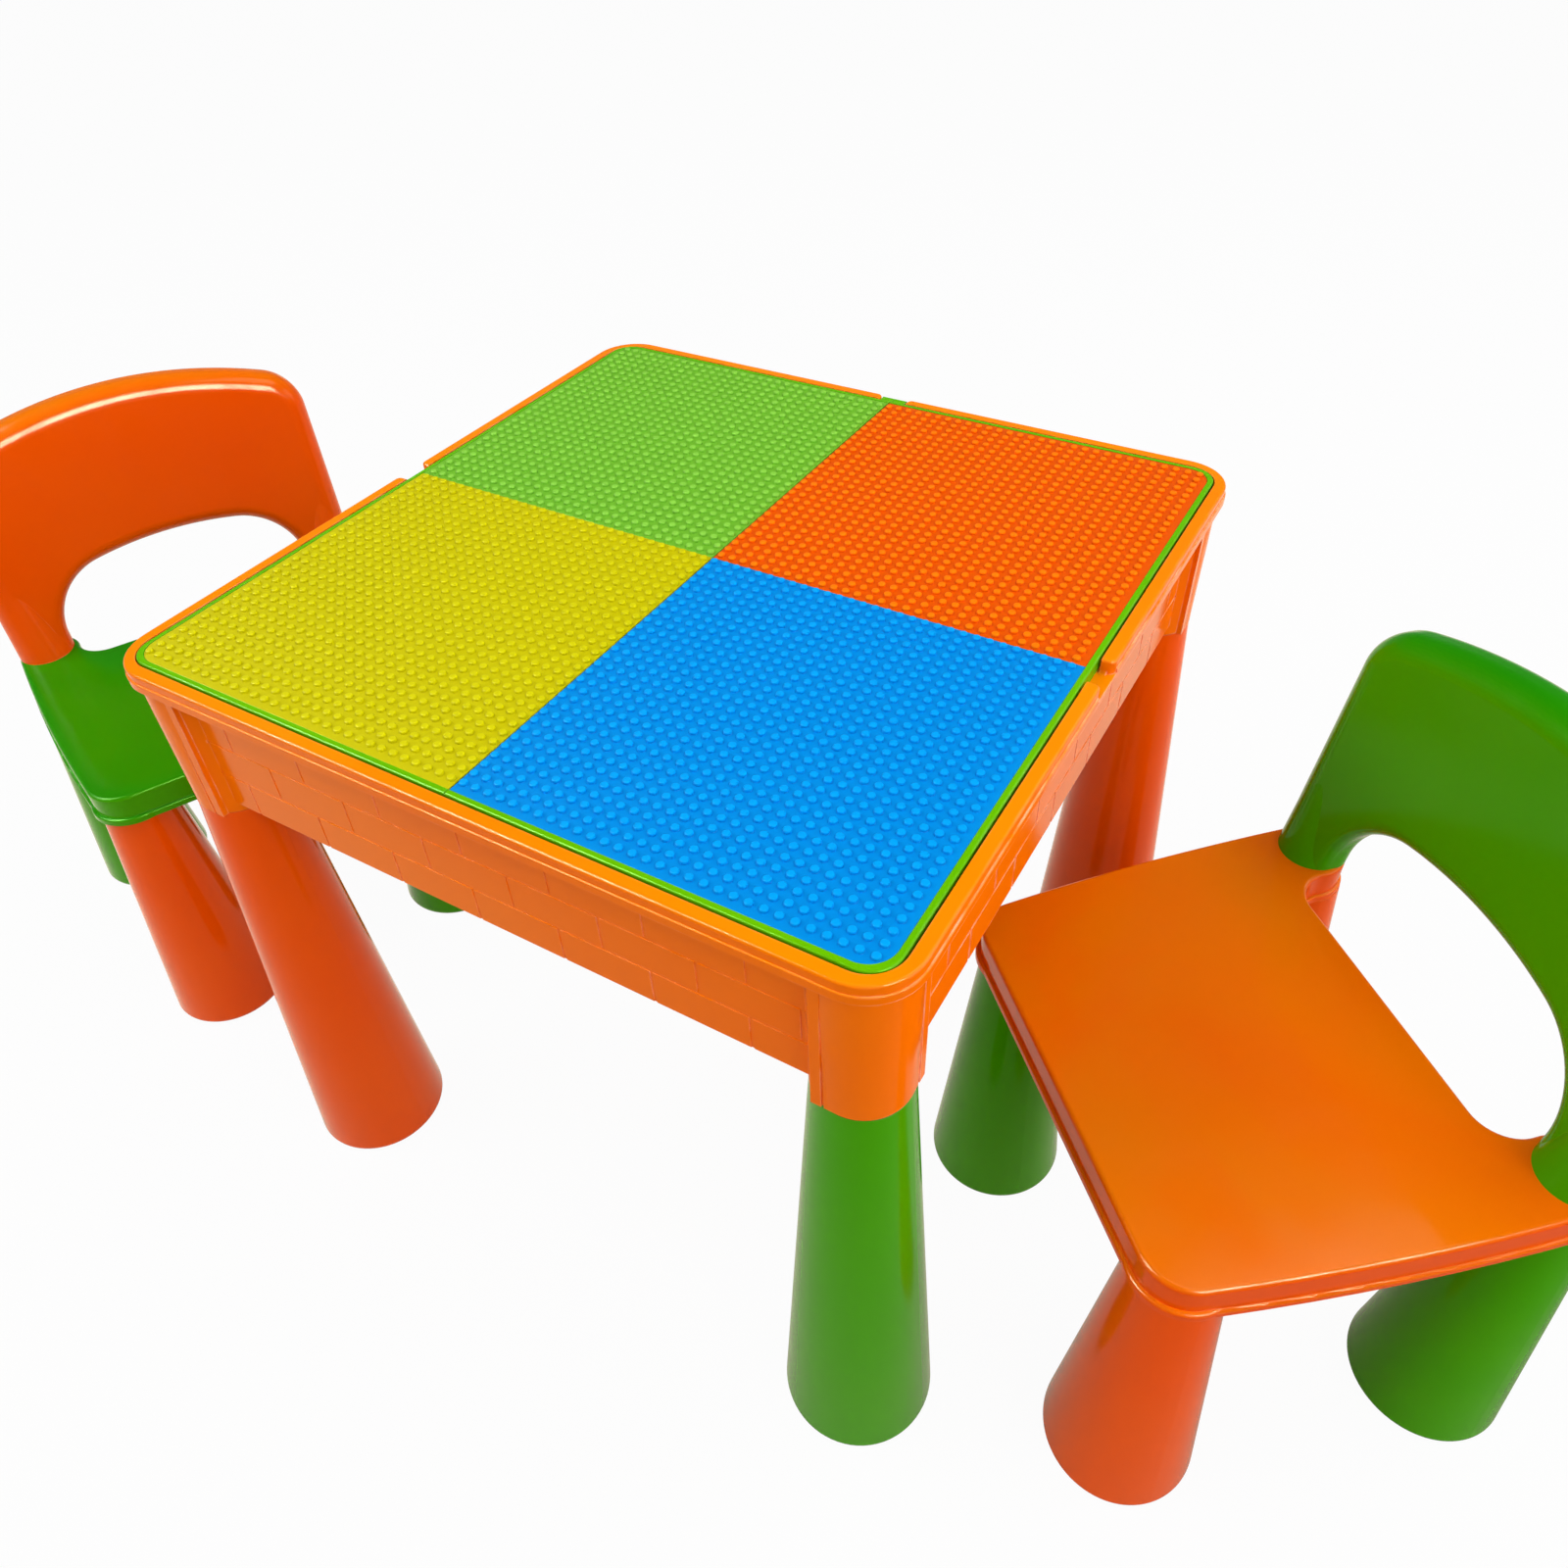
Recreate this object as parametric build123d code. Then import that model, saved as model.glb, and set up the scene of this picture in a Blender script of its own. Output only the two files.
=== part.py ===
from build123d import *
import math
import os

# Play table with two lift-off stud lids over a storage tub, and two chairs.
# Millimetres, +Z up, floor at Z = 0. Everything is built about the table's centre and is
# moved at the end so that the origin is the middle of the whole set on the floor.

# Stud plates: a building-brick grid that runs on across both seams
STUD_PITCH = 8.0
STUD_DIAMETER = 4.8
STUD_HEIGHT = 1.8
STUD_COUNT = 30               # studs along each side of one plate
PLATE_MARGIN = 3.0            # bare edge outside the last pitch
PLATE_THICKNESS = 2.0
PLATE_CORNER = 15.5           # rounded outer corner
PLATE_CLEARANCE = 0.15        # plate to lid and plate to plate
STUD_EDGE = 0.6               # least plate left around a stud at the corner

# Lids
TABLE_HEIGHT = 466.0          # floor to the face that the studs stand on
LID_RIM = 3.5                 # flat rim around the plates
LID_RISE = 0.2                # rim above the plates' face
LID_DEPTH = 9.2
LID_WALL = 2.5
LID_EDGE = 1.2
LID_CLEARANCE = 1.4           # lid to recess along the sides
LID_SEAM = 0.5                # between the two lids
LID_RIB = 2.0
LID_RIB_PITCH = 60.0
LID_RIB_DEPTH = 3.5

# Table body
RIM_WALL = 8.9                # recess to the widest outer face
RIM_STEP = 0.9                # upper band stands inside the lower one
RIM_DROP = 0.6                # table rim below the lid's rim
RIM_EDGE = 1.7                # outer top edge, and round the notches
RECESS_CORNER = 20.3          # recess, less clear of the lids at its corners
BAND_HEIGHT = 5.5             # lower band
FLANGE_THICKNESS = 3.0        # ledge that carries the lids
OVERHANG = 13.8               # widest outer face to the apron
APRON_HEIGHT = 88.0           # underside of the flange to the apron's edge
TUB_WALL = 2.5
DIVIDER_WALL = 3.0
DIVIDER_CAP = 14.0
NOTCH_WIDTH = 21.5            # finger notches and the tongue's notch
NOTCH_CORNER = 2.5            # along the foot of its side walls
NOTCH_FLARE = 4.0             # rounding of its outer mouth
TONGUE_CLEARANCE = 1.0
TONGUE_DROP = 1.0             # tongue below the table's rim, and inside its outer face
BRICK_LENGTH = 59.0           # brick relief on the apron
BRICK_HEIGHT = 25.0
MORTAR_WIDTH = 1.8
MORTAR_DEPTH = 0.4
MORTAR_PHASES = (-181.5, -22.0, 181.5, 22.0)   # one upright joint on each apron face
RELIEF_MARGIN = 5.0           # brick relief to the corner bosses

# Corner columns and table legs
COLUMN_SETBACK = 4.0          # column's crest inside the table's outer faces
COLUMN_RADIUS = 28.0
COLUMN_DRAFT = 0.8            # smaller at the lower end
COLUMN_DROP = 8.0             # below the apron's edge
COLUMN_CAP = 6.0
BOSS_INSET = 14.8             # boss flank from the column's axis
BOSS_STEP = 1.3               # boss face behind the column's crest
BOSS_GROOVE = 1.5
GROOVE_PLACE = 8.1            # groove from the column's axis
TABLE_FOOT_RADIUS = 49.8
TABLE_LEG_STEP = 0.2          # leg's shoulder inside the column's lower edge
SPIGOT_WALL = 3.4             # column wall left around the leg's spigot
SPIGOT_LENGTH = 70.0
SPIGOT_CLEARANCE = 0.05
LEG_WALL = 3.0
FOOT_EDGE = 6.0

# Chair
SEAT_HEIGHT = 256.0
SEAT_THICKNESS = 25.0
SEAT_WALL = 3.0
SEAT_EDGE = 3.0
SEAT_LIP = 2.0                # lip stands out of the skirt
SEAT_LIP_HEIGHT = 5.0
SEAT_SIDE_CURVE = 1800.0      # plan radius of the side edges
SEAT_REAR_INSET = 26.5        # rear leg line to the seat's rear edge
SEAT_REAR_FILLET = 23.0
SEAT_RIB_COUNT = 4
SEAT_RIB_DEPTH = 12.0
FRONT_LEGS = 220.8            # between the front leg axes
REAR_LEGS = 256.0             # between the rear leg axes
LEG_ROWS = 216.5              # front leg axes to rear leg axes
FRONT_CORNER = 28.5
EAR_RADIUS = 24.5
COLLAR_RADIUS = 31.5
COLLAR_HEIGHT = 5.5
CHAIR_FOOT_RADIUS = 49.0
CHAIR_LEG_RADIUS = 26.9       # under the seat
EAR_WALL = 4.0                # seat left around the rear legs' spigots
CHAIR_SPIGOT_LENGTH = 16.0
CHAIR_SPIGOT_WALL = 3.0

# Backrest
BACK_HEIGHT = 197.0           # above the seat
POST_OUTSET = 1.25            # post's axis outside the rear leg's axis
BACK_CROWN = 430.0            # radius of the top edge
BACK_CORNER = 35.0
BACK_CURVE = 750.0            # plan radius, hollow towards the sitter
BACK_SETBACK = 3.0            # middle of the posts behind the rear leg line, at the seat
BACK_LEAN = 7.4               # degrees
PANEL_FOOT = 33.0             # panel's thickness at the seat
PANEL_TOP = 33.0              # panel's thickness at its top edge
POST_WIDTH = 44.5
POST_TAPER = 80.0             # height in which the round posts run out into the panel
OPENING_HEIGHT = 67.0
OPENING_CROWN = 380.0         # radius of its arched top
OPENING_CORNER = 55.0
BACK_EDGE = 12.5              # rear edges, and all round the opening
BACK_BROW = 16.0              # front edge of the crown and flanks
BACK_WALL = 2.5
PEG_CLEARANCE = 0.05
PEG_REACH = 20.0              # below the seat, into the leg

# Where the chairs stand: seat's front leg line, from the table's outer face and centre line
LEFT_CHAIR_GAP = 132.9
LEFT_CHAIR_BACK = -100.6
LEFT_CHAIR_TURN = 64.4
RIGHT_CHAIR_GAP = 56.6
RIGHT_CHAIR_BACK = -92.8
RIGHT_CHAIR_TURN = -45.6

# Sizes that follow
plate_half = STUD_COUNT * STUD_PITCH + PLATE_MARGIN
lid_half = plate_half + LID_RIM
lid_corner = PLATE_CORNER + LID_EDGE
recess_half = lid_half + LID_CLEARANCE
table_half = recess_half + RIM_WALL
apron_half = table_half - OVERHANG
column_inset = COLUMN_RADIUS + COLUMN_SETBACK
column_place = table_half - column_inset
lid_top = TABLE_HEIGHT + LID_RISE
ledge = lid_top - LID_DEPTH
rim_top = lid_top - RIM_DROP
flange_low = ledge - FLANGE_THICKNESS
apron_low = flange_low - APRON_HEIGHT
column_low = apron_low - COLUMN_DROP
column_foot = COLUMN_RADIUS - COLUMN_DRAFT
table_spigot = column_foot - SPIGOT_WALL
chair_spigot = EAR_RADIUS - EAR_WALL
seat_low = SEAT_HEIGHT - SEAT_THICKNESS
seat_top_skin = SEAT_HEIGHT - SEAT_WALL
post_place = REAR_LEGS / 2 + POST_OUTSET
back_half = post_place + POST_WIDTH / 2
CORNERS = [(-1, -1), (1, -1), (1, 1), (-1, 1)]


def slab(sketch, low, high):
    """A flat sketch raised from height low to height high."""
    return extrude(Pos(0, 0, low) * sketch, high - low)


def rounded_square(half, corner):
    return RectangleRounded(2 * half, 2 * half, corner)


def block(x, y, low, high):
    """A box given by its x and y spans and its two heights."""
    sketch = Pos((x[0] + x[1]) / 2, (y[0] + y[1]) / 2) * Rectangle(x[1] - x[0], y[1] - y[0])
    return slab(sketch, low, high)


def post(x, y, radius, low, high):
    return slab(Pos(x, y) * Circle(radius), low, high)


def edges_at(shape, height):
    """Edges that lie flat at one height."""
    return shape.edges().filter_by_position(Axis.Z, height - 0.01, height + 0.01)


# ---------------------------------------------------------------- table body
def rim():
    lower = slab(rounded_square(table_half, column_inset), flange_low, flange_low + BAND_HEIGHT)
    lower = fillet(edges_at(lower, flange_low + BAND_HEIGHT), RIM_STEP * 0.9)
    upper_half = table_half - RIM_STEP
    upper = slab(rounded_square(upper_half, column_inset - RIM_STEP), flange_low, rim_top)
    upper -= slab(rounded_square(recess_half, RECESS_CORNER), ledge, rim_top)
    upper -= [finger_notch(turn) for turn in (0, 90, -90)]
    outer = [edge for edge in edges_at(upper, rim_top) if is_outside_recess(edge)]
    return lower + fillet(outer, RIM_EDGE)


def is_outside_recess(edge):
    middle = edge.center()
    return max(abs(middle.X), abs(middle.Y)) > recess_half + 1


def column(x, y):
    """A drafted corner column with a flat boss on each of its two outer faces."""
    cone = Pos(x * column_place, y * column_place, (flange_low + column_low) / 2) * Cone(
        column_foot, COLUMN_RADIUS, flange_low - column_low
    )
    cone = fillet(cone.edges().sort_by(Axis.Z)[:1], 1.0)
    face = column_place + COLUMN_RADIUS - BOSS_STEP
    inner = column_place - BOSS_INSET
    groove_at = column_place - GROOVE_PLACE
    bosses = block((inner, column_place), (apron_half - TUB_WALL, face), column_low, flange_low)
    groove = block(
        (groove_at - BOSS_GROOVE / 2, groove_at + BOSS_GROOVE / 2),
        (face - BOSS_GROOVE, face + BOSS_GROOVE),
        column_low,
        flange_low,
    )
    bosses -= groove
    bosses += mirror(bosses, Plane(origin=(0, 0, 0), z_dir=(1, -1, 0)))
    if x < 0:
        bosses = mirror(bosses, Plane.YZ)
    if y < 0:
        bosses = mirror(bosses, Plane.XZ)
    return cone + bosses


def brick_relief():
    """Shallow mortar joints of a running bond on the four apron faces."""
    reach = column_place - BOSS_INSET - RELIEF_MARGIN
    courses = int((flange_low - apron_low) / BRICK_HEIGHT)
    joints = []
    for side, phase in enumerate(MORTAR_PHASES):
        face = []
        for course in range(courses + 1):
            level = apron_low + course * BRICK_HEIGHT
            top = min(level + BRICK_HEIGHT, flange_low)
            if course:
                face.append(Pos(0, level) * Rectangle(2 * reach, MORTAR_WIDTH))
            start = phase + (course % 2) * BRICK_LENGTH / 2
            first = start - BRICK_LENGTH * math.floor((start + reach) / BRICK_LENGTH)
            for upright in range(int((reach - first) / BRICK_LENGTH) + 1):
                along = first + upright * BRICK_LENGTH
                face.append(Pos(along, (level + top) / 2) * Rectangle(MORTAR_WIDTH, top - level))
        front = Plane(origin=(0, -apron_half, 0), x_dir=(1, 0, 0), z_dir=(0, -1, 0))
        cut = extrude(front * Sketch(children=face), MORTAR_DEPTH, both=True)
        joints.append(Rot(0, 0, 90 * side) * cut)
    return joints


def tub_hollow(side):
    """Storage space under one lid, clear of the corner columns and the middle wall."""
    inner = apron_half - TUB_WALL
    near = DIVIDER_WALL / 2
    deep = block(sorted((side * near, side * inner)), (-inner, inner), apron_low + TUB_WALL, flange_low)
    mouth = block(
        sorted((side * DIVIDER_CAP / 2, side * inner)), (-inner, inner), flange_low, ledge
    )
    hollow = deep + mouth
    for y in (-1, 1):
        hollow -= post(side * column_place, y * column_place, COLUMN_RADIUS, apron_low, ledge)
    return hollow


def finger_notch(turn):
    """Cut through the rim above the ledge at the middle of a side, flared at its mouth."""
    start = recess_half - LID_CLEARANCE
    stop = table_half + NOTCH_FLARE
    cut = block((-NOTCH_WIDTH / 2, NOTCH_WIDTH / 2), (start, stop), ledge, lid_top + 1)
    cut = fillet(cut.edges().filter_by(Axis.Y).group_by(Axis.Z)[0], NOTCH_CORNER)
    mouth_half = NOTCH_WIDTH / 2 + NOTCH_FLARE
    mouth = block((-mouth_half, mouth_half), (table_half - RIM_STEP - NOTCH_FLARE, stop), ledge, lid_top + 1)
    for x in (-mouth_half, mouth_half):
        mouth -= post(x, table_half - RIM_STEP - NOTCH_FLARE, NOTCH_FLARE, ledge, lid_top + 1)
    return Rot(0, 0, turn) * (cut + mouth)


def table_body():
    body = rim()
    body += slab(rounded_square(apron_half, column_inset - OVERHANG), apron_low, flange_low)
    for x, y in CORNERS:
        body += column(x, y)
    body -= slab(rounded_square(recess_half, RECESS_CORNER), ledge, lid_top)
    body -= [tub_hollow(-1), tub_hollow(1)]
    body -= [finger_notch(turn) for turn in (0, 90, -90)]
    bore = table_spigot + SPIGOT_CLEARANCE
    body -= [
        post(x * column_place, y * column_place, bore, column_low, ledge - COLUMN_CAP)
        for x, y in CORNERS
    ]
    body -= brick_relief()
    return body


# ---------------------------------------------------------------- lids and stud plates
def lid(side):
    """Tray-shaped half lid: a skin with a skirt and ribs below and a pocket for two plates."""
    inner = side * LID_SEAM / 2
    half = block(sorted((inner, side * lid_half)), (-lid_half, lid_half), ledge, lid_top)
    shape = slab(rounded_square(lid_half, lid_corner), ledge, lid_top)
    shape = fillet(edges_at(shape, lid_top), LID_EDGE) & half
    pocket_floor = TABLE_HEIGHT - PLATE_THICKNESS
    shape -= slab(rounded_square(plate_half, PLATE_CORNER), pocket_floor, lid_top)
    skin_low = pocket_floor - LID_WALL
    under = slab(rounded_square(lid_half - LID_WALL, lid_corner - LID_WALL), ledge, skin_low)
    span = block(
        sorted((inner + side * LID_WALL, side * lid_half)), (-lid_half, lid_half), ledge, skin_low
    )
    shape -= under & span
    ribs = []
    rib_low = skin_low - LID_RIB_DEPTH
    count = int((lid_half - LID_RIB_PITCH / 2) / LID_RIB_PITCH)
    for step in range(-count, count + 1):
        at = step * LID_RIB_PITCH
        edge = sorted((inner, side * (lid_half - LID_WALL / 2)))
        ribs.append(block(edge, (at - LID_RIB / 2, at + LID_RIB / 2), rib_low, skin_low))
        if at * side > 0:
            reach = lid_half - LID_WALL / 2
            ribs.append(block((at - LID_RIB / 2, at + LID_RIB / 2), (-reach, reach), rib_low, skin_low))
    shape += ribs
    return shape + tongue(side)


def tongue(side):
    """Half of the tongue that keys the lids in the notch at the back of the rim."""
    reach = sorted((side * LID_SEAM / 2, side * (NOTCH_WIDTH / 2 - TONGUE_CLEARANCE)))
    end = table_half - RIM_STEP - TONGUE_DROP
    key = block(reach, (lid_half - LID_WALL, end), ledge, rim_top - TONGUE_DROP)
    outer = key.edges().group_by(Axis.Y)[-1]
    key = fillet(outer.filter_by(Axis.X).sort_by(Axis.Z)[-1:], LID_EDGE)
    flank = Axis((0, 0, 0), (side, 0, 0))
    foot = key.edges().filter_by(Axis.Y).group_by(Axis.Z)[0].sort_by(flank)[-1]
    return fillet(foot, NOTCH_CORNER)


def stud_plate():
    """The plate of the +X +Y quarter; its outer corner is the rounded one."""
    low = PLATE_CLEARANCE
    high = plate_half - PLATE_CLEARANCE
    quarter = block((low + LID_SEAM / 2, high), (low, high), TABLE_HEIGHT - PLATE_THICKNESS, TABLE_HEIGHT)
    corner = quarter.edges().filter_by(Axis.Z).sort_by(Axis((0, 0, 0), (1, 1, 0)))[-1]
    quarter = fillet(corner, PLATE_CORNER - PLATE_CLEARANCE)
    centre = high - PLATE_CORNER
    places = []
    for column_number in range(STUD_COUNT):
        for row_number in range(STUD_COUNT):
            x = (column_number + 0.5) * STUD_PITCH
            y = (row_number + 0.5) * STUD_PITCH
            past = math.hypot(max(x - centre, 0), max(y - centre, 0))
            if past + STUD_DIAMETER / 2 + STUD_EDGE < PLATE_CORNER:
                places.append((x, y))
    studs = [
        Pos(x, y, TABLE_HEIGHT + STUD_HEIGHT / 2 - 0.5) * Cylinder(STUD_DIAMETER / 2, STUD_HEIGHT + 1)
        for x, y in places
    ]
    return quarter + studs


# ---------------------------------------------------------------- legs
def cone_leg(foot, shoulder, height, spigot, spigot_length, spigot_wall):
    """Hollow cone with a rounded foot and an open tube on top that plugs into its socket."""
    slope = (foot - shoulder) / height
    inner_top = height - LEG_WALL
    profile = Polyline(
        (0, 0),
        (foot, 0),
        (shoulder, height),
        (spigot, height),
        (spigot, height + spigot_length),
        (spigot - spigot_wall, height + spigot_length),
        (spigot - spigot_wall, inner_top),
        (shoulder - LEG_WALL + slope * LEG_WALL, inner_top),
        (foot - LEG_WALL - slope * LEG_WALL, LEG_WALL),
        (0, LEG_WALL),
        close=True,
    )
    leg = revolve(Plane.XZ * make_face(profile), Axis.Z)
    leg = fillet(leg.edges().group_by(Axis.Z)[0], FOOT_EDGE)
    return leg


def table_leg():
    shoulder = column_foot - TABLE_LEG_STEP
    return cone_leg(TABLE_FOOT_RADIUS, shoulder, column_low, table_spigot, SPIGOT_LENGTH, LEG_WALL)


def chair_leg():
    return cone_leg(
        CHAIR_FOOT_RADIUS,
        CHAIR_LEG_RADIUS,
        seat_low,
        chair_spigot,
        CHAIR_SPIGOT_LENGTH,
        CHAIR_SPIGOT_WALL,
    )


# ---------------------------------------------------------------- chair
# Own frame: origin on the floor between the front legs, Y towards the back.
def leg_places():
    front = FRONT_LEGS / 2
    rear = REAR_LEGS / 2
    return {
        "front_left": (front, 0),
        "front_right": (-front, 0),
        "rear_left": (rear, LEG_ROWS),
        "rear_right": (-rear, LEG_ROWS),
    }


def side_arc(front, ear, grow):
    """Side edge of the seat: an arc that runs smoothly out of the front corner into the ear."""
    radius = SEAT_SIDE_CURVE + grow
    from_front = radius - FRONT_CORNER - grow
    from_ear = radius - EAR_RADIUS - grow
    span = ear - front
    along = (from_front**2 - from_ear**2 + span.length**2) / (2 * span.length)
    inward = Vector(-span.Y, span.X).normalized()
    middle = front + span.normalized() * along + inward * math.sqrt(from_front**2 - along**2)
    start = middle + (front - middle).normalized() * radius
    end = middle + (ear - middle).normalized() * radius
    crest = middle + (start + end - middle * 2).normalized() * radius
    return start, crest, end


def seat_outline(grow=0.0):
    """Plan of the seat, made larger or smaller all round by grow."""
    front = Vector(FRONT_LEGS / 2, 0)
    ear = Vector(REAR_LEGS / 2, LEG_ROWS)
    corner_radius = FRONT_CORNER + grow
    ear_radius = EAR_RADIUS + grow
    hollow_radius = SEAT_REAR_FILLET - grow
    rear = LEG_ROWS - SEAT_REAR_INSET + grow
    drop = rear + hollow_radius - LEG_ROWS
    reach = ear_radius + hollow_radius
    hollow = Vector(ear.X - math.sqrt(reach**2 - drop**2), rear + hollow_radius)
    touch = ear + (hollow - ear).normalized() * ear_radius
    foot = Vector(hollow.X, rear)
    dip = hollow + (touch + foot - hollow * 2).normalized() * hollow_radius
    start, crest, end = side_arc(front, ear, grow)
    tip = front + Vector(0, -corner_radius)
    bend = front + (start + tip - front * 2).normalized() * corner_radius
    back = ear + Vector(0, ear_radius)
    edges = [
        Line((0, tip.Y), tip),
        ThreePointArc(tip, bend, start),
        ThreePointArc(start, crest, end),
        ThreePointArc(end, back, touch),
        ThreePointArc(touch, dip, foot),
        Line(foot, (0, rear)),
    ]
    half = Wire(edges)
    return make_face(half.edges() + mirror(half, Plane.YZ).edges())


def seat():
    """Moulded seat: smooth top, skirt with a lip, collars over the front legs, ribs below."""
    shape = slab(seat_outline(), seat_low, SEAT_HEIGHT)
    shape = fillet(edges_at(shape, SEAT_HEIGHT), SEAT_EDGE)
    lip = slab(seat_outline(SEAT_LIP), seat_low, seat_low + SEAT_LIP_HEIGHT)
    shape += fillet(edges_at(lip, seat_low + SEAT_LIP_HEIGHT), SEAT_LIP * 0.8)
    for name, (x, y) in leg_places().items():
        if name.startswith("front"):
            collar = post(x, y, COLLAR_RADIUS, seat_low, seat_low + COLLAR_HEIGHT)
            shape += fillet(edges_at(collar, seat_low + COLLAR_HEIGHT), SEAT_LIP)
    hollow = slab(seat_outline(-SEAT_WALL), seat_low, seat_top_skin)
    for x, y in leg_places().values():
        hollow -= post(x, y, chair_spigot + SEAT_WALL, seat_low, seat_top_skin)
    shape -= hollow
    shape += seat_ribs() & hollow
    bore = chair_spigot + SPIGOT_CLEARANCE
    spigot_top = seat_low + CHAIR_SPIGOT_LENGTH
    for name, (x, y) in leg_places().items():
        shape -= post(x, y, bore, seat_low, spigot_top)
        if name.startswith("rear"):
            shape -= post(x, y, peg_radius() + PEG_CLEARANCE, seat_low, SEAT_HEIGHT)
    return shape


def seat_ribs():
    """Crossing ribs under the seat's skin, still to be trimmed to the hollow."""
    low = seat_top_skin - SEAT_RIB_DEPTH
    reach = REAR_LEGS
    ribs = []
    for number in range(1, SEAT_RIB_COUNT + 1):
        share = number / (SEAT_RIB_COUNT + 1)
        x = FRONT_LEGS * (share - 0.5)
        y = LEG_ROWS * share - FRONT_CORNER / 2
        ribs.append(block((x - LID_RIB / 2, x + LID_RIB / 2), (-reach, reach), low, seat_top_skin))
        ribs.append(block((-reach, reach), (y - LID_RIB / 2, y + LID_RIB / 2), low, seat_top_skin))
    grid = ribs[0]
    for rib in ribs[1:]:
        grid += rib
    return grid


def peg_radius():
    return chair_spigot - CHAIR_SPIGOT_WALL - PEG_CLEARANCE


def arched_face(half, foot, top, crown, corner):
    """A flat upright panel with an arched top edge and rounded upper corners."""
    shoulder = top - (crown - math.sqrt(crown**2 - half**2))
    face = make_face(
        [
            Line((-half, foot), (half, foot)),
            Line((half, foot), (half, shoulder)),
            ThreePointArc((half, shoulder), (0, top), (-half, shoulder)),
            Line((-half, shoulder), (-half, foot)),
        ]
    )
    return fillet(face.vertices().group_by(Axis.Y)[-1], corner)


def back_outline(shrink):
    """Front view of the panel and posts, made smaller all round by shrink."""
    panel = arched_face(
        back_half - shrink, 0, BACK_HEIGHT - shrink, BACK_CROWN - shrink, BACK_CORNER - shrink
    )
    opening = arched_face(
        back_half - POST_WIDTH + shrink,
        -OPENING_CORNER,
        OPENING_HEIGHT + shrink,
        OPENING_CROWN + shrink,
        OPENING_CORNER + shrink,
    )
    return panel - opening


def curved_face(side, grow):
    """Large drum whose rear is the panel's rear face (side 1) or its front face (side -1)."""
    crest = LEG_ROWS + BACK_SETBACK + BACK_CURVE - math.sqrt(BACK_CURVE**2 - post_place**2)
    taper = math.degrees(math.atan((PANEL_FOOT - PANEL_TOP) / 2 / BACK_HEIGHT))
    drum = Pos(0, -BACK_CURVE, 0) * Cylinder(BACK_CURVE + grow, 4 * BACK_HEIGHT)
    return Pos(0, crest + side * PANEL_FOOT / 2, SEAT_HEIGHT) * Rot(side * taper - BACK_LEAN, 0, 0) * drum


def is_rim(edge, front, brow):
    """True for a rim of the crown and flanks on the front face (brow) or for any other rim."""
    middle = edge.center()
    runs_through = abs(edge.tangent_at(0.5).Y) > 0.9
    if runs_through or middle.Z < SEAT_HEIGHT + 1:
        return False
    outer = abs(middle.X) > post_place or middle.Z > SEAT_HEIGHT + BACK_HEIGHT / 2
    return brow == (outer and front.distance_to(middle) < 1)


def round_post(side, shrink):
    """Leaning cone that makes a post round at the seat and runs out in the panel above."""
    foot = POST_WIDTH / 2
    tip = PANEL_TOP / 2 - 1
    lean = math.tan(math.radians(BACK_LEAN)) * POST_TAPER
    low = Vector(side * post_place, LEG_ROWS + BACK_SETBACK, SEAT_HEIGHT)
    high = Vector(side * (back_half - tip), LEG_ROWS + BACK_SETBACK + lean, SEAT_HEIGHT + POST_TAPER)
    lower = Plane(origin=low, z_dir=(0, 0, 1)) * Circle(foot - shrink)
    upper = Plane(origin=high, z_dir=(0, 0, 1)) * Circle(tip - shrink)
    return loft([lower, upper])


def back_form(shrink, low):
    """The backrest's rounded body above height low, made smaller all round by shrink."""
    front_view = Plane(origin=(0, 0, SEAT_HEIGHT), x_dir=(1, 0, 0), z_dir=(0, -1, 0))
    form = extrude(front_view * back_outline(shrink), -2 * BACK_CURVE)
    form &= curved_face(1, -shrink)
    front = curved_face(-1, shrink)
    form -= front
    form = fillet(form.edges().filter_by(lambda edge: is_rim(edge, front, False)), BACK_EDGE - shrink)
    form = fillet(form.edges().filter_by(lambda edge: is_rim(edge, front, True)), BACK_BROW - shrink)
    form += [round_post(-1, shrink), round_post(1, shrink)]
    if low > SEAT_HEIGHT:
        span = 2 * BACK_CURVE
        form -= block((-span, span), (-span, span), SEAT_HEIGHT - 1, low)
    return form


def backrest():
    """Hollow curved panel on two posts, each with a peg that goes through the seat into a leg."""
    panel = back_form(0, SEAT_HEIGHT) - back_form(BACK_WALL, SEAT_HEIGHT + BACK_WALL)
    for name, (x, y) in leg_places().items():
        if name.startswith("rear"):
            panel += post(x, y, peg_radius(), seat_low - PEG_REACH, SEAT_HEIGHT + BACK_WALL)
    return panel


# ---------------------------------------------------------------- the whole set
def table_parts():
    parts = {"table_body": table_body(), "lid_left": lid(-1), "lid_right": lid(1)}
    plate = stud_plate()
    parts["plate_orange"] = plate
    parts["plate_light_green"] = mirror(plate, Plane.YZ)
    parts["plate_blue"] = mirror(plate, Plane.XZ)
    parts["plate_yellow"] = mirror(mirror(plate, Plane.YZ), Plane.XZ)
    leg = table_leg()
    names = ["front_left", "front_right", "rear_right", "rear_left"]
    for name, (x, y) in zip(names, CORNERS):
        parts[f"table_leg_{name}"] = Pos(x * column_place, y * column_place) * leg
    return parts


def chair_parts():
    parts = {"seat": seat(), "backrest": backrest()}
    leg = chair_leg()
    for name, place in leg_places().items():
        parts[f"leg_{name}"] = Pos(*place) * leg
    return parts


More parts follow.
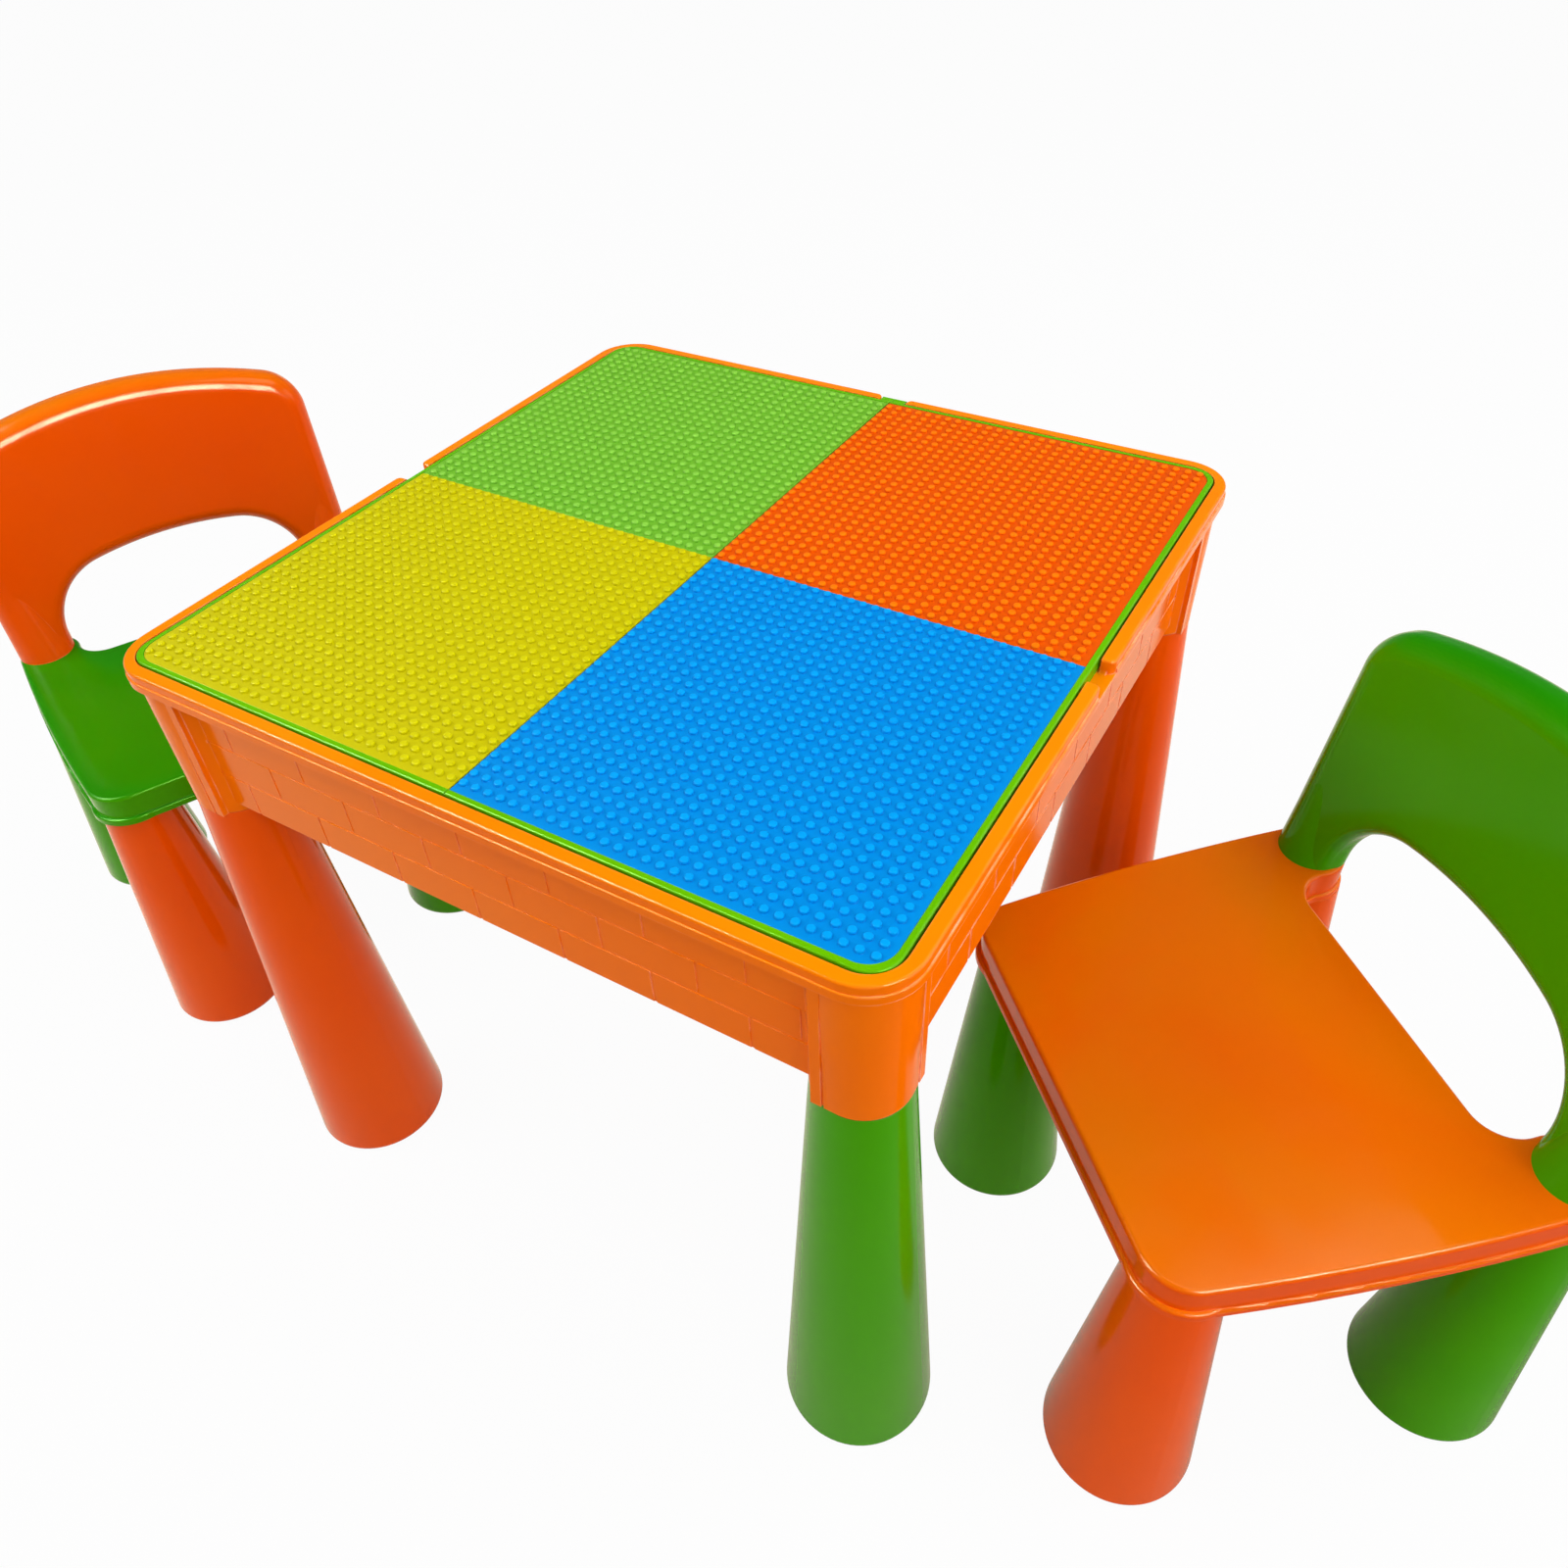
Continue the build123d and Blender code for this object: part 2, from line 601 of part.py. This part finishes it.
def build_set():
    parts = table_parts()
    chair = chair_parts()
    stands = {
        "left_chair": (-table_half - LEFT_CHAIR_GAP, LEFT_CHAIR_BACK, LEFT_CHAIR_TURN),
        "right_chair": (table_half + RIGHT_CHAIR_GAP, RIGHT_CHAIR_BACK, RIGHT_CHAIR_TURN),
    }
    for prefix, (x, y, turn) in stands.items():
        for name, shape in chair.items():
            parts[f"{prefix}_{name}"] = Pos(x, y) * Rot(0, 0, turn) * shape
    return parts


os.makedirs("parts", exist_ok=True)
pieces = build_set()
boxes = [shape.bounding_box() for shape in pieces.values()]
middle_x = (min(box.min.X for box in boxes) + max(box.max.X for box in boxes)) / 2
middle_y = (min(box.min.Y for box in boxes) + max(box.max.Y for box in boxes)) / 2
for name, shape in pieces.items():
    export_step(Pos(-middle_x, -middle_y) * shape, f"parts/{name}.step")
print(f"table centre at {-middle_x:.3f}, {-middle_y:.3f}")
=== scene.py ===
import math

import bmesh
import bpy
from mathutils import Euler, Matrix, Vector


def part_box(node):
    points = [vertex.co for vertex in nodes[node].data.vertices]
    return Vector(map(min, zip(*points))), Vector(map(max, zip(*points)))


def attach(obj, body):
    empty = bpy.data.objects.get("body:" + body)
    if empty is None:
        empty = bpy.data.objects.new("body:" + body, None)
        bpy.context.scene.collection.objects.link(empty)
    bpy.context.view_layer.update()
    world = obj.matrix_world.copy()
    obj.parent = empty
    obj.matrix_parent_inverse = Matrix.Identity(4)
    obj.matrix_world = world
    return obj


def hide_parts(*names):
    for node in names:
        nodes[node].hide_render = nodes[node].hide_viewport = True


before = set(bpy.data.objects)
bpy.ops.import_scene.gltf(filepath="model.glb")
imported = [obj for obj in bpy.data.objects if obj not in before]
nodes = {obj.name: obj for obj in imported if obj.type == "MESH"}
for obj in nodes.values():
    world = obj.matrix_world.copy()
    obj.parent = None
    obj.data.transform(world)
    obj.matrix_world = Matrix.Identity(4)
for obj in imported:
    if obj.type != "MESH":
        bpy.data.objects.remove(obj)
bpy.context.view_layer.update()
table_low, table_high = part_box("table_body")
table_middle = (table_low + table_high) / 2


# ---------------------------------------------------------------- table body
# One large injection moulding: rim, apron with its brick relief, tub, middle wall and the
# four corner columns. Polished orange polypropylene, with the slow ripple and the flow shading
# that such a moulding has, painted light on its upward faces and painted highlights along
# its edges.
def srgb(red, green, blue):
    """A colour as a paint chart gives it, 0 to 255, in the shader's linear scale."""
    linear = []
    for value in (red / 255, green / 255, blue / 255):
        linear.append(value / 12.92 if value <= 0.04045 else ((value + 0.055) / 1.055) ** 2.4)
    return (*linear, 1.0)


def add_node(tree, kind, inputs=None, **settings):
    """A shader node with its settings and its inputs, each a value or the socket that feeds it."""
    node = tree.nodes.new(kind)
    for name, value in settings.items():
        setattr(node, name, value)
    for name, value in (inputs or {}).items():
        if isinstance(value, bpy.types.NodeSocket):
            tree.links.new(value, node.inputs[name])
        else:
            node.inputs[name].default_value = value
    return node


def new_group(name, inputs, outputs):
    """An empty shader group with named sockets, and its input and output nodes."""
    group = bpy.data.node_groups.new(name, "ShaderNodeTree")
    for label, kind in inputs.items():
        group.interface.new_socket(label, in_out="INPUT", socket_type=f"NodeSocket{kind}")
    for label, kind in outputs.items():
        group.interface.new_socket(label, in_out="OUTPUT", socket_type=f"NodeSocket{kind}")
    return group, group.nodes.new("NodeGroupInput"), group.nodes.new("NodeGroupOutput")


def rescale(tree, value, low, high, to_low=0.0, to_high=1.0):
    """A socket's value moved from one range to another, and held inside it."""
    inputs = {
        "Value": value, "From Min": low, "From Max": high, "To Min": to_low, "To Max": to_high
    }
    return add_node(tree, "ShaderNodeMapRange", inputs).outputs["Result"]


def calculate(tree, operation, first, second):
    """One sum of two numbers or sockets."""
    return add_node(tree, "ShaderNodeMath", {0: first, 1: second}, operation=operation).outputs[0]


def dot(tree, first, second):
    """The dot product of two vectors or vector sockets."""
    inputs = {0: first, 1: second}
    return add_node(tree, "ShaderNodeVectorMath", inputs, operation="DOT_PRODUCT").outputs["Value"]


def part_of(tree, vector, axis):
    """The X, Y or Z of a vector socket."""
    return add_node(tree, "ShaderNodeSeparateXYZ", {"Vector": vector}).outputs[axis]


def object_place(tree):
    """The shaded point in the object's own coordinates."""
    return add_node(tree, "ShaderNodeTexCoord").outputs["Object"]


def noise(tree, scale, detail, distortion=0.0):
    """Cloudy noise in the object's own coordinates, mostly between 0.3 and 0.7."""
    inputs = {
        "Vector": object_place(tree), "Scale": scale, "Detail": detail, "Distortion": distortion
    }
    return add_node(tree, "ShaderNodeTexNoise", inputs).outputs["Fac"]


def mix_colours(tree, share, first, second):
    """The first colour at a share of 0, and the second at a share of 1."""
    inputs = {0: share, 6: first, 7: second}
    return add_node(tree, "ShaderNodeMix", inputs, data_type="RGBA").outputs[2]


def edge_highlight_and_rub_group():
    """Mask of the convex edges that take a painted highlight and a little roughness, most of all
    those that face right on the table's right side.
    """
    group, entry, leave = new_group("edge_highlight_and_rub", {"Width": "Float"}, {"Mask": "Float"})
    rounded = add_node(group, "ShaderNodeBevel", {"Radius": entry.outputs["Width"]}, samples=4)
    rounded_normal = rounded.outputs["Normal"]
    true_normal = add_node(group, "ShaderNodeNewGeometry").outputs["Normal"]
    flat_cosine, turned_cosine = 0.995, 0.88
    edge = rescale(group, dot(group, rounded_normal, true_normal), flat_cosine, turned_cosine)
    # The painted highlight is strongest on edges that face right, on the table's right side.
    rightward = part_of(group, rounded_normal, "X")
    facing_right = rescale(group, rightward, 0.3, 0.8, to_low=0.15, to_high=0.9)
    across = part_of(group, object_place(group), "X")
    rise_at_right_side = rescale(group, across, 0.275, 0.285, to_low=1.0, to_high=1.7)
    drop_beyond_it = rescale(group, across, 0.3, 0.306, to_low=1.0, to_high=0.4)
    right_side = calculate(group, "MULTIPLY", rise_at_right_side, drop_beyond_it)
    highlight_side = calculate(group, "MULTIPLY", facing_right, right_side)
    broken = rescale(group, noise(group, scale=60.0, detail=3.0), 0.35, 0.65)
    patchy = calculate(group, "MULTIPLY", broken, highlight_side)
    group.links.new(calculate(group, "MULTIPLY", edge, patchy), leave.inputs["Mask"])
    return group


def moulding_group():
    """Colour, roughness and normal of moulded plastic in object space."""
    group, entry, leave = new_group(
        "moulded_plastic",
        {"Pigment": "Color", "Pale": "Color", "Lit_Top": "Color", "Flow": "Float", "Shine": "Float",
         "Haze": "Float", "Ripple": "Float", "Grain": "Float"},
        {"Color": "Color", "Roughness": "Float", "Normal": "Vector"},
    )
    given = entry.outputs

    # Colour: flow marks where the melt ran, and painted top light: faces that turn upwards take the
    # finish's lit colour, by their true normal.
    cloud = rescale(group, noise(group, scale=5.0, detail=3.0, distortion=0.8), 0.3, 0.7)
    flow = calculate(group, "MULTIPLY", cloud, given["Flow"])
    moulded = mix_colours(group, flow, given["Pigment"], given["Pale"])
    facing = add_node(group, "ShaderNodeNewGeometry").outputs["True Normal"]
    open_to_light = rescale(group, part_of(group, facing, "Z"), 0.2, 0.95)
    uneven = rescale(group, cloud, 0.0, 1.0, to_low=0.55, to_high=1.0)
    painted_top_light = calculate(group, "MULTIPLY", open_to_light, uneven)
    lit_top_colour = mix_colours(group, painted_top_light, moulded, given["Lit_Top"])
    group.links.new(lit_top_colour, leave.inputs["Color"])

    # Roughness: polish under a thin film that hands and floors leave.
    film = rescale(group, noise(group, scale=38.0, detail=4.0), 0.35, 0.7)
    haze = calculate(group, "MULTIPLY", film, given["Haze"])
    group.links.new(calculate(group, "ADD", given["Shine"], haze), leave.inputs["Roughness"])

    # Height in metres: the slow sink marks of thick walls, and the mould's own fine grain.
    slow = noise(group, scale=16.0, detail=1.0)
    fine = noise(group, scale=1100.0, detail=1.0)
    ripple = calculate(group, "MULTIPLY", slow, given["Ripple"])
    grain = calculate(group, "MULTIPLY", fine, given["Grain"])
    height = calculate(group, "ADD", ripple, grain)
    bump = add_node(group, "ShaderNodeBump", {"Strength": 1.0, "Distance": 1.0, "Height": height})
    group.links.new(bump.outputs["Normal"], leave.inputs["Normal"])
    return group


EDGE_HIGHLIGHT_AND_RUB = edge_highlight_and_rub_group()
MOULDED = moulding_group()
POLISHED = {"Flow": 0.35, "Shine": 0.1, "Haze": 0.07, "Ripple": 0.00022, "Grain": 0.000003}
POLYPROPYLENE_IOR = 1.49
EDGE_HIGHLIGHT_COLOUR = (1, 0.85, 0.65, 1)
RUBBED_ROUGHNESS = 0.1


def plastic(name, pigment, pale, lit_top_colour, gloss, edge_width=0.0014, edge_highlight_share=0.36, level=0.1, **finish):
    """A moulded plastic: the shared groups with this finish's own values, and its shader."""
    material = bpy.data.materials.new(name)
    material.use_nodes = True
    tree = material.node_tree
    shader = tree.nodes["Principled BSDF"].inputs
    surface = add_node(tree, "ShaderNodeGroup", node_tree=MOULDED)
    values = {"Pigment": pigment, "Pale": pale, "Lit_Top": lit_top_colour, **POLISHED, **finish}
    for label, value in values.items():
        surface.inputs[label].default_value = value
    highlight_and_rub = add_node(tree, "ShaderNodeGroup", node_tree=EDGE_HIGHLIGHT_AND_RUB)
    highlight_and_rub.inputs["Width"].default_value = edge_width
    mask = highlight_and_rub.outputs["Mask"]
    # Painted highlight: the edge mask mixes a pale cream into the colour along the edges, and
    # roughens them a little.
    highlight_amount = calculate(tree, "MULTIPLY", mask, edge_highlight_share)
    with_edge_highlight = mix_colours(tree, highlight_amount, surface.outputs["Color"], EDGE_HIGHLIGHT_COLOUR)
    dulled = calculate(tree, "MULTIPLY", mask, RUBBED_ROUGHNESS)
    roughness = calculate(tree, "ADD", surface.outputs["Roughness"], dulled)
    tree.links.new(with_edge_highlight, shader["Base Color"])
    tree.links.new(roughness, shader["Roughness"])
    tree.links.new(surface.outputs["Normal"], shader["Normal"])
    shader["IOR"].default_value = POLYPROPYLENE_IOR
    shader["Specular IOR Level"].default_value = level
    shader["Specular Tint"].default_value = gloss
    return material


def coat_node(name, material):
    """A CAD node whose shape is right stays and takes this material."""
    mesh = nodes[name].data
    mesh.materials.clear()
    mesh.materials.append(material)


# The third colour of each plastic is painted top light, the colour that upward faces take.
TABLE_ORANGE = plastic(
    "table_orange",
    pigment=srgb(240, 106, 0),
    pale=srgb(244, 124, 0),
    lit_top_colour=srgb(238, 134, 0),
    gloss=(1, 0.8, 0.45, 1),
)
coat_node("table_body", TABLE_ORANGE)

# ---------------------------------------------------------------- table legs
# Four hollow cones that plug up into the columns, blown in a redder orange than the table and
# in green, one colour on each diagonal. They are held by the push fit alone.
# Their third colours are painted top light, as for the table.
ORANGE = plastic(
    "orange_polypropylene",
    pigment=srgb(232, 76, 0),
    pale=srgb(240, 94, 0),
    lit_top_colour=srgb(217, 113, 0),
    gloss=(1, 0.82, 0.55, 1),
    edge_highlight_share=0.2,
    level=0.2,
)
GREEN = plastic(
    "green_polypropylene",
    pigment=srgb(62, 150, 0),
    pale=srgb(80, 156, 0),
    lit_top_colour=srgb(24, 128, 0),
    gloss=(0.4, 1, 0.15, 1),
    edge_highlight_share=0.12,
    level=0.2,
)


def coat_legs(owner, first, second):
    """Four legs, one colour on the diagonal through the front left leg and one on the other."""
    for corner in ("front_left", "rear_right"):
        coat_node(f"{owner}_leg_{corner}", first)
    for corner in ("front_right", "rear_left"):
        coat_node(f"{owner}_leg_{corner}", second)


coat_legs("table", ORANGE, GREEN)

# ---------------------------------------------------------------- lids
# Two green trays that lie on the ledge inside the rim and lift off by the finger notches.
# The same green as the legs, moulded thinner, so it flows a little paler.
# Its third colour is painted top light.
LID_GREEN = plastic(
    "lid_green",
    pigment=srgb(78, 160, 0),
    pale=srgb(90, 168, 0),
    lit_top_colour=srgb(98, 176, 0),
    gloss=(0.4, 1, 0.15, 1),
    edge_highlight_share=0.12,
    Flow=0.5,
    Shine=0.14,
)
for side in ("left", "right"):
    coat_node(f"lid_{side}", LID_GREEN)

# ---------------------------------------------------------------- stud plates
# Four building-brick plates bonded into the lids' pockets, each one thin satin moulding with
# a grid of studs whose rims are rounded. Yellow, light green, orange and blue.
STUD_PITCH = 0.008
STUD_RADIUS = 0.0024
STUD_HEIGHT = 0.0018
STUD_RIM = 0.0007
STUD_SEGMENTS = 16
STUDS_ALONG = 30
PLATE_CORNER = 0.01535
PLATE_CORNER_SEGMENTS = 10
PLATE_THICKNESS = 0.002
PLATE_EDGE = 0.0003
EDGE_SEGMENTS = 2
FLAT_NORMAL = 0.999


def join_copies(shape, step, count):
    """Sets copies of everything in the shape side by side, one step apart."""
    first = shape.verts[:] + shape.edges[:] + shape.faces[:]
    for number in range(1, count):
        made = bmesh.ops.duplicate(shape, geom=first)["geom"]
        verts = [part for part in made if isinstance(part, bmesh.types.BMVert)]
        bmesh.ops.translate(shape, verts=verts, vec=step * number)


def raise_face(shape, height):
    """Pulls every face of a flat shape up, and returns the edges round the lifted face."""
    made = bmesh.ops.extrude_face_region(shape, geom=shape.faces[:])["geom"]
    verts = [part for part in made if isinstance(part, bmesh.types.BMVert)]
    bmesh.ops.translate(shape, verts=verts, vec=(0, 0, height))
    lifted = set(verts)
    return list(
        {edge for vert in verts for edge in vert.link_edges if edge.other_vert(vert) in lifted}
    )


def round_off(shape, parts, kind, radius, segments):
    """Rounds edges, or the corners at vertices, to an arc."""
    bmesh.ops.bevel(
        shape, geom=parts, offset=radius, segments=segments, affect=kind, profile=0.5, material=-1
    )


def stud_field():
    """All the studs of one plate, standing on the origin's plane, the first one at the origin."""
    studs = bmesh.new()
    bmesh.ops.create_circle(studs, cap_ends=True, radius=STUD_RADIUS, segments=STUD_SEGMENTS)
    crown = raise_face(studs, STUD_HEIGHT)
    round_off(studs, crown, "EDGES", STUD_RIM, EDGE_SEGMENTS)
    on_the_plate = 1e-6
    feet = [face for face in studs.faces if face.calc_center_median().z < on_the_plate]
    bmesh.ops.delete(studs, geom=feet, context="FACES_ONLY")
    bmesh.ops.recalc_face_normals(studs, faces=studs.faces[:])
    join_copies(studs, Vector((STUD_PITCH, 0, 0)), STUDS_ALONG)
    join_copies(studs, Vector((0, STUD_PITCH, 0)), STUDS_ALONG)
    return studs


def stud_plate(node, body, material):
    """A plate in the place of its CAD node, its rounded corner away from the table's middle."""
    low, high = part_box(node)
    middle = (low + high) / 2
    east = math.copysign(1, middle.x - table_middle.x)
    north = math.copysign(1, middle.y - table_middle.y)
    face_height = high.z - STUD_HEIGHT

    plate = bmesh.new()
    bmesh.ops.create_grid(plate, x_segments=1, y_segments=1, size=0.5)
    bmesh.ops.scale(plate, verts=plate.verts, vec=(high.x - low.x, high.y - low.y, 1))
    outer = max(plate.verts, key=lambda vert: vert.co.x * east + vert.co.y * north)
    round_off(plate, [outer], "VERTICES", PLATE_CORNER, PLATE_CORNER_SEGMENTS)
    crown = raise_face(plate, PLATE_THICKNESS)
    round_off(plate, crown, "EDGES", PLATE_EDGE, EDGE_SEGMENTS)
    bmesh.ops.recalc_face_normals(plate, faces=plate.faces[:])
    underside = (middle.x, middle.y, face_height - PLATE_THICKNESS)
    bmesh.ops.translate(plate, verts=plate.verts, vec=underside)
    mesh = bpy.data.meshes.new(node)
    plate.to_mesh(mesh)
    plate.free()

    # The grid of studs runs on across both seams, half a pitch from the table's middle.
    outward = Vector((east, north, 0))
    nearest = table_middle + outward * STUD_PITCH / 2
    farthest = nearest + outward * STUD_PITCH * (STUDS_ALONG - 1)
    start = (min(nearest.x, farthest.x), min(nearest.y, farthest.y), face_height)
    studs = stud_field()
    bmesh.ops.translate(studs, verts=studs.verts, vec=start)
    studs.from_mesh(mesh)
    studs.to_mesh(mesh)
    studs.free()

    mesh.materials.append(material)
    mesh.shade_smooth()
    piece = bpy.data.objects.new(f"{node}_studded", mesh)
    bpy.context.scene.collection.objects.link(piece)
    sharp = mesh.attributes.new("sharp_face", "BOOLEAN", "FACE")
    flat = [abs(face.normal.z) > FLAT_NORMAL for face in mesh.polygons]
    sharp.data.foreach_set("value", flat)
    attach(piece, body)
    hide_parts(node)


def stud_crown_group():
    """Mask of the studs' crowns, by height above the face that they stand on."""
    group, entry, leave = new_group("stud_crown", {"Face": "Float"}, {"Mask": "Float"})
    height = part_of(group, object_place(group), "Z")
    risen = calculate(group, "SUBTRACT", height, entry.outputs["Face"])
    crown_from = 0.0004
    group.links.new(rescale(group, risen, crown_from, STUD_HEIGHT), leave.inputs["Mask"])
    return group


def paint_crown_light(material, crown, face_height):
    """Painted light and shade: the studs' crowns take the brighter crown colour, and the hollows
    between the studs keep the darker sheet colour.
    """
    tree = material.node_tree
    base_colour = tree.nodes["Principled BSDF"].inputs["Base Color"]
    below = base_colour.links[0].from_socket
    mask = add_node(tree, "ShaderNodeGroup", node_tree=STUD_CROWN)
    mask.inputs["Face"].default_value = face_height
    tree.links.new(mix_colours(tree, mask.outputs["Mask"], below, crown), base_colour)


STUD_CROWN = stud_crown_group()
SATIN = {"Flow": 0.3, "Shine": 0.42, "Haze": 0.06, "Ripple": 0.0001}
PALE_SHARE = 0.3
# The sheet colour paints the hollows between the studs darker, and the crown colour paints the
# studs' tops lighter: painted shade and painted light.
for colour_name, body, sheet, crown, gloss in (
    ("yellow", "left_lid", srgb(186, 178, 0), srgb(196, 190, 0), (1, 1, 0.1, 1)),
    ("light_green", "left_lid", srgb(106, 172, 42), srgb(128, 192, 62), (0.7, 1, 0.4, 1)),
    ("orange", "right_lid", srgb(214, 80, 0), srgb(242, 116, 0), (1, 0.5, 0.05, 1)),
    ("blue", "right_lid", srgb(0, 130, 206), srgb(0, 148, 224), (0.05, 0.6, 1, 1)),
):
    plate_node = f"plate_{colour_name}"
    satin = plastic(
        f"{colour_name}_stud_plastic",
        pigment=sheet,
        pale=[
            (1 - PALE_SHARE) * deep + PALE_SHARE * bright for deep, bright in zip(sheet, crown)
        ],
        lit_top_colour=sheet,
        gloss=gloss,
        edge_width=0.0005,
        edge_highlight_share=0.06,
        level=0.05,
        **SATIN,
    )
    paint_crown_light(satin, crown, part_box(plate_node)[1].z - STUD_HEIGHT)
    stud_plate(plate_node, body, satin)

# ---------------------------------------------------------------- chairs
# Each chair is a moulded seat on four plugged cone legs, with a hollow blown backrest whose
# two posts stand in the seat's ears. The colours swap from chair to chair and leg to leg.
for chair, seat, backrest in (("left_chair", GREEN, ORANGE), ("right_chair", ORANGE, GREEN)):
    coat_node(f"{chair}_seat", seat)
    coat_node(f"{chair}_backrest", backrest)
    coat_legs(chair, seat, backrest)


# ---------------------------------------------------------------- studio floor
# Pale matt paint on a floor that runs out of sight. It shows white and keeps a light shadow.
# Polish mirrors it as a painted glow instead, a slightly warm white that fades towards the front
# right.
FLOOR_HALF = 6.0
FLOOR_WHITE_SHARE = 0.96
REAR_LEFT = (-0.8, 0.6, 0)
WHITE = (1, 1, 1, 1)
WARM_WHITE = (1, 0.9, 0.72, 1)


def ray_kinds(tree):
    """Whether a ray is the camera's, straight or through glass, and whether polish mirrors it."""
    ray = add_node(tree, "ShaderNodeLightPath").outputs
    seen = calculate(tree, "MAXIMUM", ray["Is Camera Ray"], ray["Is Transmission Ray"])
    return seen, ray["Is Glossy Ray"]


def mix_numbers(tree, share, first, second):
    """The first number at a share of 0, and the second at a share of 1."""
    inputs = {0: share, 2: first, 3: second}
    return add_node(tree, "ShaderNodeMix", inputs, data_type="FLOAT").outputs[0]


def floor_paint():
    """Pale matt paint that the camera sees as white, apart from a part of the shadow, and that
    polish sees as a painted glow.
    """
    material = bpy.data.materials.new("floor_paint")
    material.use_nodes = True
    tree = material.node_tree
    tree.nodes.remove(tree.nodes["Principled BSDF"])
    mottle = noise(tree, scale=3.0, detail=2.0)
    value = rescale(tree, mottle, 0.0, 1.0, to_low=0.51, to_high=0.53)
    tone = add_node(tree, "ShaderNodeCombineColor", {"Red": value, "Green": value, "Blue": value})
    matt = add_node(tree, "ShaderNodeBsdfDiffuse", {"Color": tone.outputs["Color"]})
    seen, mirrored = ray_kinds(tree)
    to_rear_left = dot(tree, object_place(tree), REAR_LEFT)
    painted_reflection = rescale(tree, to_rear_left, -0.7, 0.3, to_low=0.15, to_high=1.2)
    glow = add_node(
        tree,
        "ShaderNodeEmission",
        {
            "Color": mix_colours(tree, mirrored, WHITE, WARM_WHITE),
            "Strength": mix_numbers(tree, mirrored, 1.0, painted_reflection),
        },
    )
    seen_white = calculate(tree, "MULTIPLY", seen, FLOOR_WHITE_SHARE)
    share = calculate(tree, "MAXIMUM", mirrored, seen_white)
    both = add_node(tree, "ShaderNodeMixShader", {0: share, 1: matt.outputs[0], 2: glow.outputs[0]})
    tree.links.new(both.outputs[0], tree.nodes["Material Output"].inputs["Surface"])
    return material


floor_shape = bmesh.new()
bmesh.ops.create_grid(floor_shape, x_segments=2, y_segments=2, size=FLOOR_HALF)
floor_mesh = bpy.data.meshes.new("floor")
floor_shape.to_mesh(floor_mesh)
floor_shape.free()
floor_mesh.materials.append(floor_paint())
floor = bpy.data.objects.new("floor", floor_mesh)
bpy.context.scene.collection.objects.link(floor)

# ---------------------------------------------------------------- studio light
# A white surround whose light and reflection weaken overhead, and five soft boxes that look at
# the table. The two at the front have a bright core, which polish mirrors as a highlight.
world = bpy.data.worlds.new("studio")
world.use_nodes = True
bpy.context.scene.world = world
sky = world.node_tree
up = part_of(sky, add_node(sky, "ShaderNodeTexCoord").outputs["Generated"], "Z")
sky_mirrored = rescale(sky, up, 0.0, 0.5, to_low=0.45, to_high=0.1)
sky_lit = rescale(sky, up, 0.0, 0.8, to_low=0.64, to_high=0.5)
sky_seen, sky_polish = ray_kinds(sky)
surround = mix_numbers(sky, sky_polish, sky_lit, sky_mirrored)
background = sky.nodes["Background"].inputs
sky.links.new(mix_numbers(sky, sky_seen, surround, 1.0), background["Strength"])
background["Color"].default_value = WHITE

AIM_HEIGHT = 0.4
LAMP_AIM = Vector((table_middle.x, table_middle.y, AIM_HEIGHT))


def area_lamp(name, place, width, watts):
    """A square lamp that looks at the table."""
    lamp = bpy.data.lights.new(name, "AREA")
    lamp.size = width
    lamp.energy = watts
    holder = bpy.data.objects.new(name, lamp)
    holder.location = Vector(place)
    holder.rotation_mode = "QUATERNION"
    holder.rotation_quaternion = (LAMP_AIM - holder.location).to_track_quat("-Z", "Y")
    bpy.context.scene.collection.objects.link(holder)
    return holder


def soft_box(name, place, width, fill, core=None):
    """A soft box, and if it has one its bright core, which lights nothing but polish."""
    area_lamp(f"{name}_fill", place, width, fill)
    if core:
        area_lamp(f"{name}_glint", place, width, core).visible_diffuse = False


soft_box("overhead", place=(0.9, 0.7, 2.9), width=1.3, fill=23)
soft_box("left", place=(-1.3, -1.1, 2.1), width=1.4, fill=27, core=800)
soft_box("right", place=(2.5, -1.1, 2.2), width=1.5, fill=34, core=900)
soft_box("back", place=(2.0, 1.5, 1.3), width=1.2, fill=12)
soft_box("side", place=(2.2, 0.3, 0.7), width=0.9, fill=8)

# ---------------------------------------------------------------- camera
# Stands at the front right of the table, 0.87 m above the floor, and looks down.
CAMERA_FROM_TABLE = (0.38241, -0.53521, 0.86944)
CAMERA_DEGREES = (47.67952, 1.99420, 30.43103)
SENSOR_WIDTH_MM = 36
LENS_MM = 27.8355
camera_data = bpy.data.cameras.new("camera")
camera_data.sensor_width = SENSOR_WIDTH_MM
camera_data.lens = LENS_MM
camera = bpy.data.objects.new("camera", camera_data)
camera.location = Vector((table_middle.x, table_middle.y, 0)) + Vector(CAMERA_FROM_TABLE)
camera.rotation_euler = Euler([math.radians(angle) for angle in CAMERA_DEGREES])
bpy.context.scene.collection.objects.link(camera)
bpy.context.scene.camera = camera
bpy.context.scene.view_settings.view_transform = "Standard"
